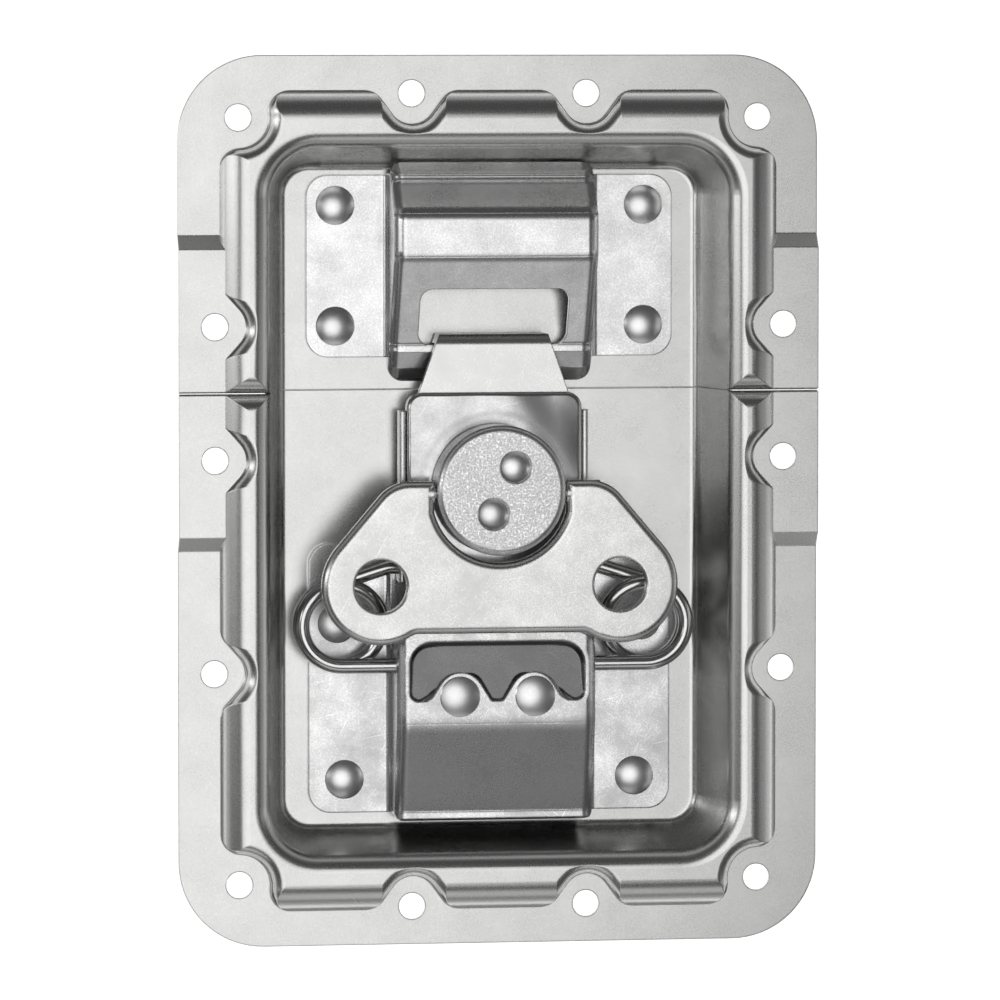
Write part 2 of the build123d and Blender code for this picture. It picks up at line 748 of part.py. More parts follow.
with BuildPart() as carrier_tray:
    with BuildSketch(Plane.YZ):
        with BuildLine():
            Polyline(
                (tray_y[1], tray_top_z),
                (ear_y, tray_top_z),
                (ear_y, ear_low_z),
                (tray_y[0] - 0.6, ear_low_z),
                (tray_y[0] + 2.0, tray_floor_z - tray_t),
                (tray_y[1], tray_floor_z - tray_t),
                close=True,
            )
        make_face()
    extrude(amount=tray_wall_x + tray_t, both=True)
    with BuildSketch(Plane.YZ):
        with BuildLine():
            Polyline(
                (tray_y[1] + 1, 0),
                (ear_y - 1, 0),
                (ear_y - 1, ear_low_z - 1),
                (tray_y[0], ear_low_z - 1),
                (tray_y[0], tray_floor_z),
                (tray_y[1] + 1, tray_floor_z),
                close=True,
            )
        make_face()
    extrude(amount=tray_wall_x, both=True, mode=Mode.SUBTRACT)
    ear_corners = carrier_tray.edges().filter_by(
        lambda e: abs(e.center().Y - ear_y) < 0.01 and abs(e.center().Z - ear_low_z) < 0.01
    )
    fillet(ear_corners, 2.0)
    wall_edges = edges_at(carrier_tray, tray_top_z).filter_by(Axis.Y)
    fillet(wall_edges, tray_edge_r)
    with BuildSketch(Plane.YZ):
        with Locations((wire_end_y, low_z)):
            Circle(wire_r + wire_fit)
    extrude(amount=tray_wall_x + 2 * tray_t, both=True, mode=Mode.SUBTRACT)
    with BuildSketch(flat(tray_floor_z - tray_t)):
        with Locations((0, knob_y)):
            Circle(journal_r + cam_fit)
    extrude(amount=tray_t, mode=Mode.SUBTRACT)
name_and_save(carrier_tray.part, "carrier_tray")

with BuildPart() as carrier_cover:
    with BuildSketch(flat(tray_floor_z)) as cover_plan:
        with Locations((0, (cover_tail_y + cover_y[1]) / 2)):
            Rectangle(2 * cover_half_w, cover_y[1] - cover_tail_y)
        fillet(cover_plan.vertices(), cover_corner_r)
    extrude(amount=cover_top_z - tray_floor_z)
    long_edges = carrier_cover.edges().filter_by(
        lambda e: abs(e.center().Z - cover_top_z) < 0.01 and abs(e.bounding_box().size.Y) > 20
    )
    fillet(long_edges, cover_fold_r)
    with BuildSketch(flat(tray_floor_z)):
        with Locations((0, (cover_tail_y + cover_y[1]) / 2)):
            Rectangle(2 * (cover_half_w - cover_t), cover_y[1] - cover_tail_y)
    extrude(amount=cover_under_z - tray_floor_z, mode=Mode.SUBTRACT)
    with BuildSketch(flat(tray_floor_z)):
        with Locations((0, (cover_tail_y + cover_y[0]) / 2)):
            Rectangle(3 * cover_half_w, cover_y[0] - cover_tail_y)
    extrude(amount=cover_under_z - tray_floor_z, mode=Mode.SUBTRACT)
    with BuildSketch(flat(cover_under_z)):
        with Locations((0, knob_y)):
            Circle(cam_collar_r + cam_fit)
    extrude(amount=cover_t, mode=Mode.SUBTRACT)
name_and_save(carrier_cover.part, "carrier_cover")

# ----------------------------------------------------------------------- hook
cam_throw = hook_travel / 2
hook_reach_y = keeper_bar_y[1] + hook_catch_gap + hook_t
hook_under_z = hook_top_z - hook_t
hook_bend_r = hook_t + 0.3

with BuildPart() as hook:
    with BuildSketch(Plane.YZ) as hook_section:
        with BuildLine():
            Polyline(
                (hook_tail_y, hook_top_z),
                (hook_reach_y, hook_top_z),
                (hook_reach_y, hook_top_z - tab_drop),
                (hook_reach_y - hook_t, hook_top_z - tab_drop),
                (hook_reach_y - hook_t, hook_under_z),
                (hook_tail_y, hook_under_z),
                close=True,
            )
        make_face()
        outer = hook_section.vertices().filter_by(
            lambda v: abs(v.Y - hook_reach_y) < 0.01 and abs(v.Z - hook_top_z) < 0.01
        )
        fillet(outer, hook_bend_r)
        inner = hook_section.vertices().filter_by(
            lambda v: abs(v.Y - hook_reach_y + hook_t) < 0.01 and abs(v.Z - hook_under_z) < 0.01
        )
        fillet(inner, 0.3)
    extrude(amount=hook_half_w, both=True)
    with BuildSketch(flat(hook_top_z - tab_drop - 1)) as hook_plan:
        with BuildLine():
            Polyline(
                (-hook_half_w, hook_tail_y),
                (hook_half_w, hook_tail_y),
                (hook_half_w, hook_neck_y),
                (hook_tip_half_w, hook_reach_y),
                (-hook_tip_half_w, hook_reach_y),
                (-hook_half_w, hook_neck_y),
                close=True,
            )
        make_face()
        neck = hook_plan.vertices().group_by(Axis.Y)[1]
        fillet(neck, 4.0)
        tail = hook_plan.vertices().group_by(Axis.Y)[0]
        fillet(tail, 1.5)
    extrude(amount=tab_drop + 2, mode=Mode.INTERSECT)
    with BuildSketch(flat(hook_under_z)):
        with Locations((0, knob_y - cam_throw)):
            RectangleRounded(2 * (cam_throw + cam_r + slide_gap * 3), 2 * (cam_r + cam_window_gap), 3.0)
    extrude(amount=hook_t, mode=Mode.SUBTRACT)
name_and_save(hook.part, "hook")

# ------------------------------------------------------------------ turn knob
flange_low_z = cover_top_z + cam_flange_gap
knob_low_z = flange_low_z + cam_flange_t
cam_low_z = tray_floor_z + slide_gap / 2
washer_top_z = tray_floor_z - tray_t - slide_gap
wing_pin_y = wing_top_y - knuckle_r
wing_pin_z = wing_face_z - knuckle_r
pin_dx = pin_spacing / 2 * math.sin(math.radians(pin_tilt))
pin_dy = pin_spacing / 2 * math.cos(math.radians(pin_tilt))
pin_spots = [(pin_shift_x + s * pin_dx, knob_y + s * pin_dy) for s in (1, -1)]

with BuildPart() as cam:
    with BuildSketch(flat(flange_low_z)):
        with Locations((0, knob_y)):
            Circle(cam_flange_r)
    extrude(amount=cam_flange_t)
    with BuildSketch(flat(cover_under_z)):
        with Locations((0, knob_y)):
            Circle(cam_collar_r)
    extrude(amount=flange_low_z - cover_under_z)
    with BuildSketch(flat(cam_low_z)):
        with Locations((0, knob_y - cam_throw)):
            Circle(cam_r)
    extrude(amount=cover_under_z - cam_low_z)
    with BuildSketch(flat(washer_top_z - washer_t)):
        with Locations((0, knob_y)):
            Circle(journal_r)
    extrude(amount=cam_low_z - washer_top_z + washer_t)
    with BuildSketch(flat(washer_top_z - washer_t - stake_t)):
        with Locations((0, knob_y)):
            Circle(journal_r + 1.2)
    extrude(amount=stake_t)
    with BuildSketch(flat(cover_under_z)):
        with Locations(*pin_spots):
            Circle(pin_shank_r)
    extrude(amount=cam_flange_t + cover_t + 1, mode=Mode.SUBTRACT)
name_and_save(cam.part, "cam")

with BuildPart() as cam_washer:
    with BuildSketch(flat(washer_top_z - washer_t)):
        with Locations((0, knob_y)):
            Circle(washer_r)
            Circle(journal_r, mode=Mode.SUBTRACT)
    extrude(amount=washer_t)
name_and_save(cam_washer.part, "cam_washer")

with BuildPart() as knob:
    with BuildSketch(flat(knob_low_z)):
        with Locations((0, knob_y)):
            Circle(knob_r)
    extrude(amount=knob_top_z - knob_low_z)
    fillet(edges_at(knob, knob_top_z), knob_edge_r)
    with BuildSketch(Plane.YZ):
        with Locations((wing_pin_y, wing_pin_z)):
            Circle(wing_pin_r)
    extrude(amount=knob_r, both=True, mode=Mode.SUBTRACT)
    with BuildSketch(flat(knob_top_z)):
        with Locations(*pin_spots):
            Circle(pin_sink_r)
    extrude(amount=-pin_sink_depth, mode=Mode.SUBTRACT)
    with BuildSketch(flat(knob_low_z)):
        with Locations(*pin_spots):
            Circle(pin_shank_r)
    extrude(amount=knob_top_z - knob_low_z, mode=Mode.SUBTRACT)
name_and_save(knob.part, "knob")

for number, spot in enumerate(pin_spots, 1):
    seat_z = knob_top_z - pin_sink_depth
    section = Plane(origin=(spot[0], spot[1], seat_z), x_dir=(1, 0, 0), z_dir=(0, -1, 0))
    length = seat_z - cover_under_z
    dome = pin_sink_depth - 0.2
    ball_r = (pin_head_r ** 2 + dome ** 2) / (2 * dome)
    with BuildPart() as knob_pin:
        with BuildSketch(section):
            with BuildLine():
                stem = Line((0, -length), (0, dome))
                RadiusArc(stem @ 1, (pin_head_r, 0), ball_r)
                Polyline((pin_head_r, 0), (pin_shank_r, 0), (pin_shank_r, -length), (0, -length))
            make_face()
        revolve(axis=Axis((spot[0], spot[1], 0), (0, 0, 1)))
    name_and_save(knob_pin.part, f"knob_pin_{number}")

# ------------------------------------------------------------ butterfly wing
arm_x = knob_r + arm_gap
arm_low_y = crescent_y - math.sqrt(crescent_r ** 2 - arm_x ** 2)
wing_low_z = wing_face_z - wing_rim
lobes = [(lobe_centre[0], lobe_centre[1]), (-lobe_centre[0], lobe_centre[1])]
flank = math.dist(lobe_centre, (wing_top_x, wing_top_y))
flank_angle = math.atan2(lobe_centre[1] - wing_top_y, lobe_centre[0] - wing_top_x)
flank_angle = flank_angle + math.asin(lobe_r / flank)
flank_run = math.sqrt(flank ** 2 - lobe_r ** 2)
flank_end = (wing_top_x + flank_run * math.cos(flank_angle), wing_top_y + flank_run * math.sin(flank_angle))

with BuildPart() as wing_pin:
    with BuildSketch(Plane.YZ):
        with Locations((wing_pin_y, wing_pin_z)):
            Circle(wing_pin_r)
    extrude(amount=knuckle_end_x - 0.3, both=True)
name_and_save(wing_pin.part, "wing_pin")

with BuildSketch(flat(wing_low_z)) as wing_outline:
    with BuildLine():
        Polyline(
            (-wing_top_x, wing_top_y),
            (wing_top_x, wing_top_y),
            flank_end,
            lobe_centre,
            (lobe_centre[0], wing_low_y),
            (-lobe_centre[0], wing_low_y),
            (-lobe_centre[0], lobe_centre[1]),
            (-flank_end[0], flank_end[1]),
            close=True,
        )
    make_face()
    with Locations(*lobes):
        Circle(lobe_r)
    top_corners = wing_outline.vertices().group_by(Axis.Y)[-1]
    fillet(top_corners, wing_top_r)
    waist = wing_outline.vertices().group_by(Axis.Y)[0]
    fillet(waist, lobe_blend_r)
    with BuildSketch(mode=Mode.SUBTRACT) as crescent:
        with Locations((0, crescent_y)):
            Circle(crescent_r)
        with Locations((0, arm_low_y + 25)):
            Rectangle(4 * arm_x, 50, mode=Mode.SUBTRACT)
        with Locations((0, arm_low_y + 5)):
            Rectangle(2 * arm_x, 10)

with BuildSketch(flat(wing_low_z)) as wing_hollow:
    offset(wing_outline.sketch, -wing_t)
    with Locations(*lobes):
        Circle(padlock_r + wing_t, mode=Mode.SUBTRACT)

with BuildPart() as wing_under:
    add(wing_hollow.sketch)
    extrude(amount=wing_rim - wing_t)
    fillet(edges_at(wing_under, wing_face_z - wing_t), wing_edge_r - wing_t)

with BuildPart() as wing:
    add(wing_outline.sketch)
    extrude(amount=wing_rim)
    fillet(edges_at(wing, wing_face_z), wing_edge_r)
    add(wing_under.part, mode=Mode.SUBTRACT)
    with BuildSketch(flat(wing_low_z)):
        with Locations(*lobes):
            Circle(padlock_r)
    extrude(amount=wing_rim, mode=Mode.SUBTRACT)
    hole_rims = edges_at(wing, wing_face_z).filter_by(lambda e: abs(e.length - math.tau * padlock_r) < 0.1)
    fillet(hole_rims, padlock_lip_r)
    for side in (1, -1):
        with BuildSketch(Plane.YZ.offset(side * arm_x)):
            with Locations((wing_pin_y, wing_pin_z)):
                Circle(knuckle_r)
        extrude(amount=side * (knuckle_end_x - arm_x))
    with BuildSketch(Plane.YZ):
        with Locations((wing_pin_y, wing_pin_z)):
            Circle(wing_pin_r + wing_pin_fit)
    extrude(amount=knuckle_end_x, both=True, mode=Mode.SUBTRACT)
name_and_save(wing.part, "wing")
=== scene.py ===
# %% [markdown]
# # A butterfly case latch
#
# This lesson dresses a recessed twist latch, the kind that is let into the edge of a
# flight case. Everything on it is steel with a bright zinc plate, so the whole lesson is
# about one metal and the many ways it is worked: drawn in a deep die, folded, tumbled in
# a barrel, drawn to wire, headed, and cast.
#
# The solid pieces arrive from the CAD frame. They keep their shape and place, and get
# their materials here. The only new piece is the set of rims round the screw holes.

# %% Load the frame
import math
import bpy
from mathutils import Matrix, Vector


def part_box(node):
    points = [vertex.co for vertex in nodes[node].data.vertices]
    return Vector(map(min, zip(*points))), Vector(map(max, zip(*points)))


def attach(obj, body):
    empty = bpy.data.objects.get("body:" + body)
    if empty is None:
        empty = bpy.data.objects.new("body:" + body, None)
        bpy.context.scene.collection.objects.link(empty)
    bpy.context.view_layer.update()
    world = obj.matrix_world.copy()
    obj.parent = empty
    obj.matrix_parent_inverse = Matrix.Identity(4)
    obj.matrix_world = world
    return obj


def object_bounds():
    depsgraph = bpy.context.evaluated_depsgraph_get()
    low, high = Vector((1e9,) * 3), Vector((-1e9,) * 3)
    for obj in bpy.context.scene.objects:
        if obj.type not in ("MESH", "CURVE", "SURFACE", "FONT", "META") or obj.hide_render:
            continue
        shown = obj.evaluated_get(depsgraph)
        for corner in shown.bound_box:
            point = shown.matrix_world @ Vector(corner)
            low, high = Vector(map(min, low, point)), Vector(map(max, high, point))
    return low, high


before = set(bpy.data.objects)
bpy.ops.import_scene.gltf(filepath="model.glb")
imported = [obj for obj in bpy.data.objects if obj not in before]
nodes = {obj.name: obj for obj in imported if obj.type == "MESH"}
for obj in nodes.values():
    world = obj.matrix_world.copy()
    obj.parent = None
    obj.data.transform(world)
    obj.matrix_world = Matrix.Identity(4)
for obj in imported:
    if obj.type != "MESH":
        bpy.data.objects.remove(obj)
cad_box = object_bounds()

from types import SimpleNamespace

import bpy
from mathutils import Matrix, Vector

# %% [markdown]
# ## Small helpers
#
# Three short functions do all the repeated work. Hex colours are sRGB, but Blender's
# shaders count in linear light, so one function converts them. One function adds a node
# with its settings and its links. One opens a new metal and hands back its node tree,
# its place on the object in metres, and its shader. A metal keeps the default IOR.

# %% Helpers
MM = 0.001


def linear(hex_colour):
    """An sRGB hex colour as linear red, green, blue and alpha."""
    parts = [int(hex_colour[i:i + 2], 16) / 255 for i in (1, 3, 5)]
    return [p / 12.92 if p <= 0.04045 else ((p + 0.055) / 1.055) ** 2.4 for p in parts] + [1.0]


def add(tree, kind, inputs=None, **settings):
    """Adds a node, sets its settings, and links or fills its inputs."""
    node = tree.nodes.new(kind)
    for name, value in settings.items():
        setattr(node, name, value)
    for name, value in (inputs or {}).items():
        if isinstance(value, bpy.types.NodeSocket):
            tree.links.new(value, node.inputs[name])
        else:
            node.inputs[name].default_value = value
    return node


def open_material(name):
    """A new material with an empty tree, its place on the object, and its shader."""
    material = bpy.data.materials.new(name)
    material.use_nodes = True
    tree = material.node_tree
    tree.nodes.clear()
    where = add(tree, "ShaderNodeTexCoord").outputs["Object"]
    shader = add(tree, "ShaderNodeBsdfPrincipled", {"Metallic": 1.0})
    add(tree, "ShaderNodeOutputMaterial", {"Surface": shader.outputs[0]})
    return SimpleNamespace(material=material, tree=tree, where=where, shader=shader)


print("white in linear light:", linear("#ffffff"))

# %% [markdown]
# ## Bright zinc plate
#
# Zinc is plated on in a bath and left bright. Up close it is never even: the crystals
# give it a fine grain, handling gives it soft clouds about a centimetre wide, and tools
# and neighbours in the barrel leave thin scratches. All of our finishes are mixtures of
# those three, so one function makes them, and each piece says how much of each it has.
#
# A real plated grain is too fine to show here, so it is drawn at 0.25 to 0.4 mm. The
# scratches are drawn wide for the same reason. Neither width is measured.
#
# A metal has no diffuse colour. What changes its look is roughness and slope, so every
# pattern drives the roughness, the tint a little, and a bump of about a thousandth of a
# millimetre. Sheet edges are never knife sharp: a bevel on the shading normal draws the
# thin line that a cut edge shows, and where an edge turns away the plate is rubbed
# brighter.

# %% The zinc finish
CLOUD_MM = 9.0
SCRATCH_RUNS = ((12, 9.0), (-37, 6.0), (64, 7.0))  # turn in degrees, length in mm
SCRATCH_WIDTH_MM, SCRATCH_DEPTH_MM = 0.22, 9.0
SCRATCH_STARTS, SCRATCH_FULL = 0.80, 0.90          # how much of the noise shows as scratch
RUB_MM = 0.3
RUB_STARTS, RUB_FULL, RUB_BRIGHT = 0.96, 0.85, 0.4  # cosine of the turn, and its weight
DULLEST, GLOSSIEST = 1.4, 0.7                      # of a finish's roughness


def zinc(name, *, light, dark, roughness, grain_mm, grain, clouds, scratches, bevel_mm, pit_mm):
    """Zinc-plated steel: two tints, a roughness, and how much grain, cloud and scratch."""
    metal = open_material(name)
    tree, where, shader = metal.tree, metal.where, metal.shader
    crystals = add(tree, "ShaderNodeTexVoronoi", {"Vector": where, "Scale": 1 / (grain_mm * MM)})
    cloud = add(tree, "ShaderNodeTexNoise",
                {"Vector": where, "Scale": 1 / (CLOUD_MM * MM), "Detail": 6.0, "Roughness": 0.65})
    marks = 0.0
    for turn, long_mm in SCRATCH_RUNS:
        laid = add(tree, "ShaderNodeMapping",
                   {"Vector": where, "Rotation": (0, 0, math.radians(turn)),
                    "Scale": (long_mm * MM, SCRATCH_WIDTH_MM * MM, SCRATCH_DEPTH_MM * MM)},
                   vector_type="TEXTURE")
        streak = add(tree, "ShaderNodeTexNoise", {"Vector": laid.outputs[0], "Scale": 1.0, "Detail": 0.0})
        line = add(tree, "ShaderNodeMapRange",
                   {"Value": streak.outputs["Fac"], "From Min": SCRATCH_STARTS, "From Max": SCRATCH_FULL})
        marks = add(tree, "ShaderNodeMath", {0: marks, 1: line.outputs[0]}, operation="MAXIMUM").outputs[0]
    worn_edge = add(tree, "ShaderNodeBevel", {"Radius": RUB_MM * MM}, samples=4)
    face = add(tree, "ShaderNodeNewGeometry").outputs["Normal"]
    turned = add(tree, "ShaderNodeVectorMath", {0: worn_edge.outputs[0], 1: face}, operation="DOT_PRODUCT")
    edge = add(tree, "ShaderNodeMapRange",
               {"Value": turned.outputs["Value"], "From Min": RUB_STARTS, "From Max": RUB_FULL,
                "To Max": RUB_BRIGHT})
    mixed = add(tree, "ShaderNodeMath", {0: cloud.outputs["Fac"], 1: clouds, 2: 0.5 - clouds / 2},
                operation="MULTIPLY_ADD")
    speck = add(tree, "ShaderNodeMath", {0: crystals.outputs["Distance"], 1: grain, 2: -grain / 2},
                operation="MULTIPLY_ADD")
    mixed = add(tree, "ShaderNodeMath", {0: mixed.outputs[0], 1: speck.outputs[0]})
    mixed = add(tree, "ShaderNodeMath", {0: mixed.outputs[0], 1: edge.outputs[0]})
    mixed = add(tree, "ShaderNodeMath", {0: marks, 1: scratches, 2: mixed.outputs[0]},
                operation="MULTIPLY_ADD", use_clamp=True)
    metal.tint = add(tree, "ShaderNodeMix", {"Factor": mixed.outputs[0], 6: linear(dark), 7: linear(light)},
                     data_type="RGBA").outputs[2]
    metal.rough = add(tree, "ShaderNodeMapRange",
                      {"Value": mixed.outputs[0], "To Min": roughness * DULLEST,
                       "To Max": roughness * GLOSSIEST}).outputs[0]
    rounded = add(tree, "ShaderNodeBevel", {"Radius": bevel_mm * MM}, samples=8)
    metal.slope = add(tree, "ShaderNodeBump",
                      {"Height": crystals.outputs["Distance"], "Distance": pit_mm * MM, "Strength": 1.0,
                       "Normal": rounded.outputs[0]}).outputs[0]
    tree.links.new(metal.tint, shader.inputs["Base Color"])
    tree.links.new(metal.rough, shader.inputs["Roughness"])
    tree.links.new(metal.slope, shader.inputs["Normal"])
    return metal


print("scratches run at", [turn for turn, long_mm in SCRATCH_RUNS], "degrees")

# %% [markdown]
# ## Folds that turn softly
#
# A press folds strip over a rounded nose, so light rolls over a fold instead of
# snapping. Here a fold is a corner between two slopes. Near it, a bump adds the small
# height by which a parabola that leaves both slopes smoothly cuts inside the corner.
# The fold's place is read on the object, so it stays with the piece. Only the strap of
# the piece is folded: its flat feet lie further out along X and are left alone.

# %% Ease the folds
def ease_folds(metal, half_strap_mm, folds):
    """Shades each fold as a bend: place on Y and half width in mm, slope before and after."""
    tree = metal.tree
    axes = add(tree, "ShaderNodeSeparateXYZ", {"Vector": metal.where})
    height = 0.0
    for place_mm, half_mm, before, after in folds:
        off = add(tree, "ShaderNodeMath", {0: axes.outputs["Y"], 1: place_mm * MM}, operation="SUBTRACT")
        off = add(tree, "ShaderNodeMath", {0: off.outputs[0]}, operation="ABSOLUTE")
        near = add(tree, "ShaderNodeMath", {0: half_mm * MM, 1: off.outputs[0]}, operation="SUBTRACT")
        near = add(tree, "ShaderNodeMath", {0: near.outputs[0], 1: 0.0}, operation="MAXIMUM")
        square = add(tree, "ShaderNodeMath", {0: near.outputs[0], 1: near.outputs[0]}, operation="MULTIPLY")
        height = add(tree, "ShaderNodeMath",
                     {0: square.outputs[0], 1: (after - before) / (4 * half_mm * MM), 2: height},
                     operation="MULTIPLY_ADD").outputs[0]
    aside = add(tree, "ShaderNodeMath", {0: axes.outputs["X"]}, operation="ABSOLUTE")
    strap = add(tree, "ShaderNodeMath", {0: aside.outputs[0], 1: half_strap_mm * MM}, operation="LESS_THAN")
    height = add(tree, "ShaderNodeMath", {0: height, 1: strap.outputs[0]}, operation="MULTIPLY")
    bend = add(tree, "ShaderNodeBump",
               {"Height": height.outputs[0], "Distance": 1.0, "Strength": 1.0, "Normal": metal.slope})
    tree.links.new(bend.outputs[0], metal.shader.inputs["Normal"])


# The strike, from its bar up to the crown, down the back and over the end.
KEEPER_FOLDS = ((29.75, 0.7, 0.0, 0.45), (47.0, 1.3, 0.45, 0.0), (55.4, 1.5, 0.0, -0.76),
                (61.7, 0.9, -0.76, 0.0), (63.1, 0.7, 0.0, -1.45))
# The bracket, where the flat meets the ramp and where the ramp meets its shelf.
BRACKET_FOLDS = ((-43.5, 2.2, 0.236, 0.0), (-60.9, 0.5, 0.0, 0.236))
# The hook, where its tip turns down.
HOOK_FOLDS = ((31.9, 2.2, 0.0, -2.4),)
print("folds:", len(KEEPER_FOLDS + BRACKET_FOLDS + HOOK_FOLDS))

# %% [markdown]
# ## The sheet and strip finishes
#
# The dish is drawn from sheet in a die, which leaves it satin and even. The strike and
# the small parts of the carrier are cut from bright strip. The bracket was tumbled in a
# barrel to take off its burrs, so it is duller, blotched and scratched. The hook is even
# and matte from sliding, and the wing is satin, with light scratches from keys and rings.

# %% Sheet and strip
drawn_zinc = zinc("drawn_satin_zinc", light="#e4e4e3", dark="#c8c8c7", roughness=0.25, grain_mm=0.25,
                  grain=0.25, clouds=0.4, scratches=0.12, bevel_mm=0.3, pit_mm=0.0006)
strip_zinc = zinc("folded_bright_zinc", light="#ffffff", dark="#c2c2c2", roughness=0.24, grain_mm=0.30,
                  grain=0.35, clouds=0.9, scratches=0.25, bevel_mm=0.38, pit_mm=0.001)
ease_folds(strip_zinc, half_strap_mm=20.0, folds=KEEPER_FOLDS)
inner_zinc = zinc("blanked_strip_zinc", light="#f2f2f1", dark="#bcbcbc", roughness=0.25, grain_mm=0.30,
                  grain=0.3, clouds=0.8, scratches=0.3, bevel_mm=0.4, pit_mm=0.001)
tumbled_zinc = zinc("tumbled_dull_zinc", light="#ffffff", dark="#b0b0b0", roughness=0.27, grain_mm=0.30,
                    grain=0.32, clouds=1.2, scratches=0.5, bevel_mm=0.45, pit_mm=0.0015)
ease_folds(tumbled_zinc, half_strap_mm=19.5, folds=BRACKET_FOLDS)
worn_zinc = zinc("worn_matte_zinc", light="#f4f4f3", dark="#d8d8d7", roughness=0.27, grain_mm=0.30,
                 grain=0.15, clouds=0.5, scratches=0.12, bevel_mm=0.3, pit_mm=0.0008)
ease_folds(worn_zinc, half_strap_mm=15.6, folds=HOOK_FOLDS)
wing_zinc = zinc("handled_satin_zinc", light="#f0f0ef", dark="#cdcdcc", roughness=0.27, grain_mm=0.32,
                 grain=0.3, clouds=0.9, scratches=0.2, bevel_mm=0.5, pit_mm=0.0012)
print("zinc finishes:", [m.name for m in bpy.data.materials])

# %% [markdown]
# ## The bracket's hollow, with painted shade
#
# The bracket has a pressed hollow round its two middle rivets, and its floor is painted
# darker, as painted shade in the recess. The floor is picked out by place:
# inside the hollow's outline on X and Y, and below the flat.

# %% Painted shade in the hollow
HOLLOW_BOX_MM = (("X", 0.0, 17.3), ("Y", -33.3, 5.9))  # axis, middle, half width
# Heights where the painted shade is full and where it has faded out.
HOLLOW_FULL_SHADE_MM, HOLLOW_NO_SHADE_MM = -0.9, -0.6          # height, below the flat at -0.3
tree = tumbled_zinc.tree
axes = add(tree, "ShaderNodeSeparateXYZ", {"Vector": tumbled_zinc.where})
hollow = add(tree, "ShaderNodeMapRange",
             {"Value": axes.outputs["Z"], "From Min": HOLLOW_FULL_SHADE_MM * MM, "From Max": HOLLOW_NO_SHADE_MM * MM,
              "To Min": 1.0, "To Max": 0.0})
for axis, middle_mm, half_mm in HOLLOW_BOX_MM:
    aside = add(tree, "ShaderNodeMath", {0: axes.outputs[axis], 1: middle_mm * MM}, operation="SUBTRACT")
    aside = add(tree, "ShaderNodeMath", {0: aside.outputs[0]}, operation="ABSOLUTE")
    within = add(tree, "ShaderNodeMath", {0: aside.outputs[0], 1: half_mm * MM}, operation="LESS_THAN")
    hollow = add(tree, "ShaderNodeMath", {0: hollow.outputs[0], 1: within.outputs[0]}, operation="MULTIPLY")
# Painted shade: the hollow's floor is mixed towards a dark grey, fading out up its walls.
painted_hollow_shade = add(tree, "ShaderNodeMix", {"Factor": hollow.outputs[0], 6: tumbled_zinc.tint, 7: linear("#7e7e7e")},
           data_type="RGBA")
tree.links.new(painted_hollow_shade.outputs[2], tumbled_zinc.shader.inputs["Base Color"])
print("hollow:", HOLLOW_BOX_MM)

# %% [markdown]
# ## Rivets, wire and the cast knob
#
# The solid heads are rounder than pressed heads look, and the shading makes up the
# difference: it leans towards the top of the piece. The lean is turned from the piece's
# own direction into the world's, and so it follows the knob's pins when the latch swings.
# Spring wire is drawn smooth. The knob is cast, and its face is a close even grit.

# %% Rivets, wire and knob
HEAD_LEAN = 0.9
rivet_zinc = zinc("headed_rivet_zinc", light="#ffffff", dark="#e2e2e1", roughness=0.30, grain_mm=0.30,
                  grain=0.3, clouds=0.4, scratches=0.1, bevel_mm=0.3, pit_mm=0.001)
tree = rivet_zinc.tree
top = add(tree, "ShaderNodeVectorTransform", {"Vector": (0, 0, HEAD_LEAN)}, vector_type="VECTOR",
          convert_from="OBJECT", convert_to="WORLD")
lean = add(tree, "ShaderNodeVectorMath", {0: rivet_zinc.slope, 1: top.outputs[0]}, operation="ADD")
lean = add(tree, "ShaderNodeVectorMath", {0: lean.outputs[0]}, operation="NORMALIZE")
tree.links.new(lean.outputs[0], rivet_zinc.shader.inputs["Normal"])
wire_zinc = zinc("drawn_wire_zinc", light="#e8e8e7", dark="#bcbcbc", roughness=0.17, grain_mm=0.30,
                 grain=0.3, clouds=0.4, scratches=0.1, bevel_mm=0.1, pit_mm=0.001)
cast_zinc = zinc("cast_grit_zinc", light="#ffffff", dark="#b4b4b4", roughness=0.32, grain_mm=0.36,
                 grain=0.9, clouds=0.2, scratches=0.0, bevel_mm=0.4, pit_mm=0.006)
print("finishes now:", len(bpy.data.materials))

# %% [markdown]
# ## The polished cover and its rubbed ring
#
# The cover under the knob is polished. Pressing it left it slightly crowned across the
# latch and a little wavy, so it mirrors the bright box on one side and the dim room on
# the other. The crown is drawn as the top of a large circle, as a bump.
#
# Each turn of the wing also rubs a ring into it just outside the knob. The ring is a
# band of distance from the knob's axis, so it is worked out on object coordinates and
# stays put however the latch is swung.

# %% Polished cover
CROWN_RADIUS_MM, WAVE_MM, WAVE_HEIGHT_MM = 185, 13, 0.9
polished_zinc = zinc("polished_rubbed_zinc", light="#ececec", dark="#a0a0a0", roughness=0.18, grain_mm=0.4,
                     grain=0.2, clouds=1.2, scratches=0.2, bevel_mm=0.4, pit_mm=0.0008)
tree, where = polished_zinc.tree, polished_zinc.where
axes = add(tree, "ShaderNodeSeparateXYZ", {"Vector": where})
square = add(tree, "ShaderNodeMath", {0: axes.outputs["X"], 1: axes.outputs["X"]}, operation="MULTIPLY")
wave = add(tree, "ShaderNodeTexNoise", {"Vector": where, "Scale": 1 / (WAVE_MM * MM), "Detail": 0.0})
crown = add(tree, "ShaderNodeMath", {0: square.outputs[0], 1: -1 / (2 * CROWN_RADIUS_MM * MM)},
            operation="MULTIPLY")
crown = add(tree, "ShaderNodeMath", {0: wave.outputs["Fac"], 1: WAVE_HEIGHT_MM * MM, 2: crown.outputs[0]},
            operation="MULTIPLY_ADD")
warp = add(tree, "ShaderNodeBump",
           {"Height": crown.outputs[0], "Distance": 1.0, "Strength": 1.0, "Normal": polished_zinc.slope})
tree.links.new(warp.outputs[0], polished_zinc.shader.inputs["Normal"])
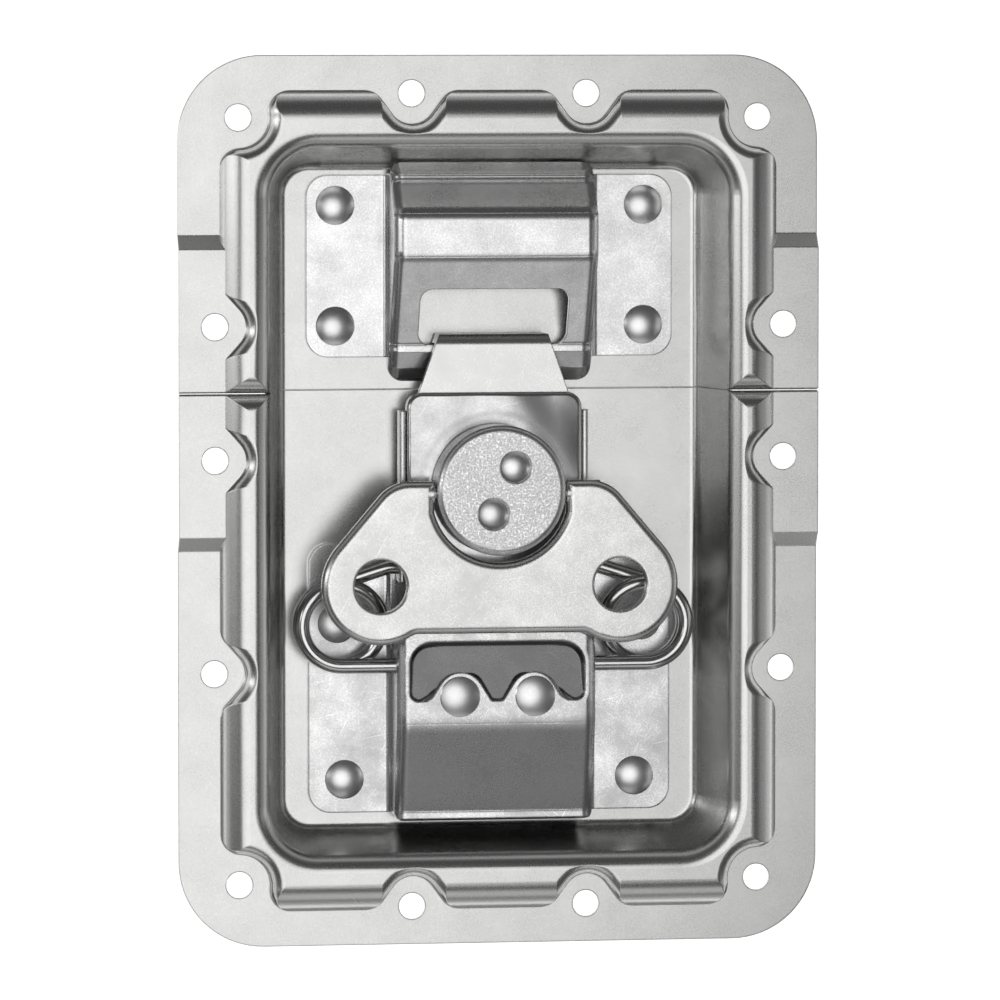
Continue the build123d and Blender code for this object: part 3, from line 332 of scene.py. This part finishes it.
print("cover crowned to a radius of", CROWN_RADIUS_MM, "mm")

# %% Rubbed ring
RING_RADIUS_MM, RING_FULL_MM, RING_ENDS_MM = 14.6, 0.2, 1.0
RING_WEIGHT, RING_DULLING = 0.35, 0.25
knob_low, knob_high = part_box("knob")
knob_axis = (knob_low + knob_high) / 2
level = add(tree, "ShaderNodeVectorMath", {0: where, 1: (1, 1, 0)}, operation="MULTIPLY")
reach = add(tree, "ShaderNodeVectorMath", {0: level.outputs[0], 1: (knob_axis.x, knob_axis.y, 0)},
            operation="DISTANCE")
off = add(tree, "ShaderNodeMath", {0: reach.outputs["Value"], 1: RING_RADIUS_MM * MM}, operation="SUBTRACT")
off = add(tree, "ShaderNodeMath", {0: off.outputs[0]}, operation="ABSOLUTE")
ring = add(tree, "ShaderNodeMapRange",
           {"Value": off.outputs[0], "From Min": RING_FULL_MM * MM, "From Max": RING_ENDS_MM * MM,
            "To Min": RING_WEIGHT, "To Max": 0.0})
rubbed = add(tree, "ShaderNodeMix", {"Factor": ring.outputs[0], 6: polished_zinc.tint, 7: linear("#c8c8c8")},
             data_type="RGBA")
tree.links.new(rubbed.outputs[2], polished_zinc.shader.inputs["Base Color"])
duller = add(tree, "ShaderNodeMath", {0: ring.outputs[0], 1: RING_DULLING, 2: polished_zinc.rough},
             operation="MULTIPLY_ADD")
tree.links.new(duller.outputs[0], polished_zinc.shader.inputs["Roughness"])
print("rub ring round the knob axis at", [round(v / MM, 1) for v in knob_axis])

# %% [markdown]
# ## Dress the CAD pieces
#
# A CAD piece is never moved or reshaped. Its material slot is filled, and its shading
# is already right. What isn't in the table is a rivet or a knob pin.

# %% Assign the finishes
finish_of = {
    "lid_dish": drawn_zinc, "base_dish": drawn_zinc, "keeper": strip_zinc,
    "bracket": tumbled_zinc, "wire_clamp": tumbled_zinc, "wire_spring": wire_zinc,
    "carrier_tray": inner_zinc, "carrier_cover": polished_zinc, "hook": worn_zinc,
    "cam": inner_zinc, "cam_washer": inner_zinc, "knob": cast_zinc,
    "wing_pin": wire_zinc, "wing": wing_zinc,
}
for name, piece in nodes.items():
    piece.data.materials.clear()
    piece.data.materials.append(finish_of.get(name, rivet_zinc).material)
print("dressed", len(nodes), "pieces, of them", len(nodes) - len(finish_of), "rivets and pins")

# %% [markdown]
# ## Rolled rims on the screw holes
#
# Punching and plating leave a faint rolled rim round each hole of the flange. The same
# rim repeats fourteen times, so Geometry Nodes makes it once, as a small circle swept
# round the hole, and sets it on a point at each hole. Half of the points are given, and
# the other half are their mirror images.

# %% Where the holes are
LOW_FLANGE, RAISED_FLANGE = 1.2, 3.2  # height of the upper face, mm
half_of_holes = ((50.7, 74.0, LOW_FLANGE), (50.7, -74.0, LOW_FLANGE), (17.05, 78.6, LOW_FLANGE),
                 (17.05, -78.6, LOW_FLANGE), (55.5, -33.1, LOW_FLANGE), (55.5, 8.15, RAISED_FLANGE),
                 (55.5, 33.85, RAISED_FLANGE))
spots = [(side * x * MM, y * MM, z * MM) for side in (-1, 1) for x, y, z in half_of_holes]
spots_mesh = bpy.data.meshes.new("hole_spots")
spots_mesh.from_pydata(spots, [], [])
rims_source = bpy.data.objects.new("hole_rims_source", spots_mesh)
bpy.context.scene.collection.objects.link(rims_source)
print("screw holes:", len(spots))

# %% The tree that makes the rims
rims_tree = bpy.data.node_groups.new("rims_on_points", "GeometryNodeTree")
rims_tree.interface.new_socket("Geometry", in_out="INPUT", socket_type="NodeSocketGeometry")
for title in ("Hole Radius", "Rim Thickness"):
    rims_tree.interface.new_socket(title, in_out="INPUT", socket_type="NodeSocketFloat")
rims_tree.interface.new_socket("Finish", in_out="INPUT", socket_type="NodeSocketMaterial")
rims_tree.interface.new_socket("Geometry", in_out="OUTPUT", socket_type="NodeSocketGeometry")
given = add(rims_tree, "NodeGroupInput")
circle = add(rims_tree, "GeometryNodeCurvePrimitiveCircle",
             {"Resolution": 64, "Radius": given.outputs["Hole Radius"]})
section = add(rims_tree, "GeometryNodeCurvePrimitiveCircle",
              {"Resolution": 10, "Radius": given.outputs["Rim Thickness"]})
swept = add(rims_tree, "GeometryNodeCurveToMesh",
            {"Curve": circle.outputs["Curve"], "Profile Curve": section.outputs["Curve"]})
smooth = add(rims_tree, "GeometryNodeSetShadeSmooth", {"Geometry": swept.outputs["Mesh"]})
set_out = add(rims_tree, "GeometryNodeInstanceOnPoints",
              {"Points": given.outputs["Geometry"], "Instance": smooth.outputs["Geometry"]})
real = add(rims_tree, "GeometryNodeRealizeInstances", {"Geometry": set_out.outputs["Instances"]})
plated = add(rims_tree, "GeometryNodeSetMaterial",
             {"Geometry": real.outputs["Geometry"], "Material": given.outputs["Finish"]})
add(rims_tree, "NodeGroupOutput", {"Geometry": plated.outputs["Geometry"]})
print("rim tree:", len(rims_tree.nodes), "nodes")

# %% [markdown]
# ## One plain mesh of rims
#
# A modifier's inputs are set by their identifiers before the points are first
# evaluated. The result becomes a plain mesh, the points and their modifier are removed,
# and the rims ride with the dish.

# %% Rims on the dish
rim_sizes = {"Hole Radius": 2.62 * MM, "Rim Thickness": 0.10 * MM, "Finish": drawn_zinc.material}
maker = rims_source.modifiers.new("rims", "NODES")
maker.node_group = rims_tree
for item in rims_tree.interface.items_tree:
    if item.in_out == "INPUT" and item.name in rim_sizes:
        maker[item.identifier] = rim_sizes[item.name]
made = rims_source.evaluated_get(bpy.context.evaluated_depsgraph_get())
rims_mesh = bpy.data.meshes.new_from_object(made)
rims_source.modifiers.remove(maker)
bpy.data.objects.remove(rims_source)
hole_rims = bpy.data.objects.new("hole_rims", rims_mesh)
bpy.context.scene.collection.objects.link(hole_rims)
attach(hole_rims, "dish")
print("hole rims:", len(spots), "rings,", len(rims_mesh.polygons), "faces")

# %% [markdown]
# ## The table
#
# The latch lies on a plain white table. It glows a little, so that it stays white under
# the dim light that suits bright metal.

# %% Floor
TABLE_HALF = 2.0  # metres
floor_z = cad_box[0].z
corners = [(x * TABLE_HALF, y * TABLE_HALF, floor_z) for x, y in ((-1, -1), (1, -1), (1, 1), (-1, 1))]
floor_mesh = bpy.data.meshes.new("floor")
floor_mesh.from_pydata(corners, [], [(0, 1, 2, 3)])
floor = bpy.data.objects.new("floor", floor_mesh)
bpy.context.scene.collection.objects.link(floor)
table = open_material("white_table")
table_look = {"Metallic": 0.0, "Base Color": linear("#f4f4f4"), "Roughness": 0.7,
              "Emission Color": linear("#ffffff"), "Emission Strength": 0.85}
for socket, value in table_look.items():
    table.shader.inputs[socket].default_value = value
floor.data.materials.append(table.material)
print("floor at z", round(floor_z / MM, 2), "mm")

# %% [markdown]
# ## The camera
#
# The camera looks almost straight down with a long lens, from a few degrees to the left
# and towards the lid, so the inner walls of the pan show unequally. Its three axes are
# worked out from those two angles.

# %% Camera
LEFT_DEG, UP_DEG = 9.0, 3.4
VIEW_WIDTH_MM, LENS_MM, SENSOR_MM = 193.4, 300.0, 36.0
CLIP_END = 10.0  # metres, past the table from any side
target = Vector((0.2, 0.0, 1.2)) * MM
left, up = math.radians(LEFT_DEG), math.radians(UP_DEG)
back = Vector((-math.sin(left), math.sin(up), 0))
back.z = math.sqrt(1 - back.length_squared)
across = Vector((0, 1, 0)).cross(back).normalized()
upward = back.cross(across)
camera_data = bpy.data.cameras.new("camera")
camera_data.lens = LENS_MM
camera_data.sensor_width = SENSOR_MM
camera_data.clip_end = CLIP_END
distance = VIEW_WIDTH_MM * MM * LENS_MM / SENSOR_MM
turn_to_latch = Matrix((across, upward, back)).transposed().to_4x4()
camera = bpy.data.objects.new("camera", camera_data)
camera.matrix_world = Matrix.Translation(target + back * distance) @ turn_to_latch
bpy.context.scene.collection.objects.link(camera)
bpy.context.scene.camera = camera
print("camera", round(distance, 3), "m away")

# %% [markdown]
# ## The lights
#
# Bright metal shows only what it mirrors. One large soft box hangs where the flat plates
# mirror it into the lens, a little to the left, so the plates grow darker towards the
# lower right. Three weaker boxes stand low at the front and sides, for the slopes.

# %% Soft boxes
LIGHT_AWAY = 1.0  # metres
SOFT_BOXES = (    # name, direction from the latch, width and height in metres, watts
    ("main_box", (-0.09, -0.05, 1.0), (0.78, 0.78), 1.95),
    ("front_strip", (0.0, -0.8, 0.6), (1.0, 0.45), 0.6),
    ("left_strip", (-1.0, 0.15, 0.55), (0.25, 1.0), 1.2),
    ("right_strip", (1.0, -0.1, 0.5), (0.2, 1.0), 0.2),
)
for name, direction, size, watts in SOFT_BOXES:
    light = bpy.data.lights.new(name, "AREA")
    light.shape = "ELLIPSE"
    light.size, light.size_y = size
    light.energy = watts
    lamp = bpy.data.objects.new(name, light)
    outward = Vector(direction).normalized()
    lamp.location = outward * LIGHT_AWAY
    lamp.rotation_mode = "QUATERNION"
    lamp.rotation_quaternion = outward.to_track_quat("Z", "Y")
    lamp.visible_camera = False
    bpy.context.scene.collection.objects.link(lamp)
print("lights:", [name for name, direction, size, watts in SOFT_BOXES])

# %% [markdown]
# ## The room
#
# Everything else that the metal can mirror is the room. It is dim overhead, which turns
# every slope dark and draws the pressing. Its walls are paler, so that the plates still
# mirror something when the latch is seen from low down. The change from wall to ceiling
# goes by height, which is the upright part of the direction looked in.

# %% Room
WALL_TOP, CEILING_STARTS = 0.22, 0.40  # upright part of a direction of length 1
WALL_GLOW, CEILING_GLOW = 0.40, 0.065
world = bpy.data.worlds.new("studio")
bpy.context.scene.world = world
world.use_nodes = True
room_tree = world.node_tree
room_tree.nodes.clear()
gaze = add(room_tree, "ShaderNodeTexCoord").outputs["Generated"]
upright = add(room_tree, "ShaderNodeSeparateXYZ", {"Vector": gaze}).outputs["Z"]
glow = add(room_tree, "ShaderNodeMapRange",
           {"Value": upright, "From Min": WALL_TOP, "From Max": CEILING_STARTS,
            "To Min": WALL_GLOW, "To Max": CEILING_GLOW})
room = add(room_tree, "ShaderNodeBackground", {"Color": linear("#ffffff"), "Strength": glow.outputs[0]})
add(room_tree, "ShaderNodeOutputWorld", {"Surface": room.outputs[0]})
bpy.context.scene.view_settings.view_transform = "Standard"
print("room glows from", CEILING_GLOW, "to", WALL_GLOW)

# %% [markdown]
# ## The CAD box
#
# The box of the pieces, measured right after they were loaded, is printed in millimetres.

# %% Print the CAD box
print("CAD box", [[round(c / MM, 2) for c in v] for v in cad_box])
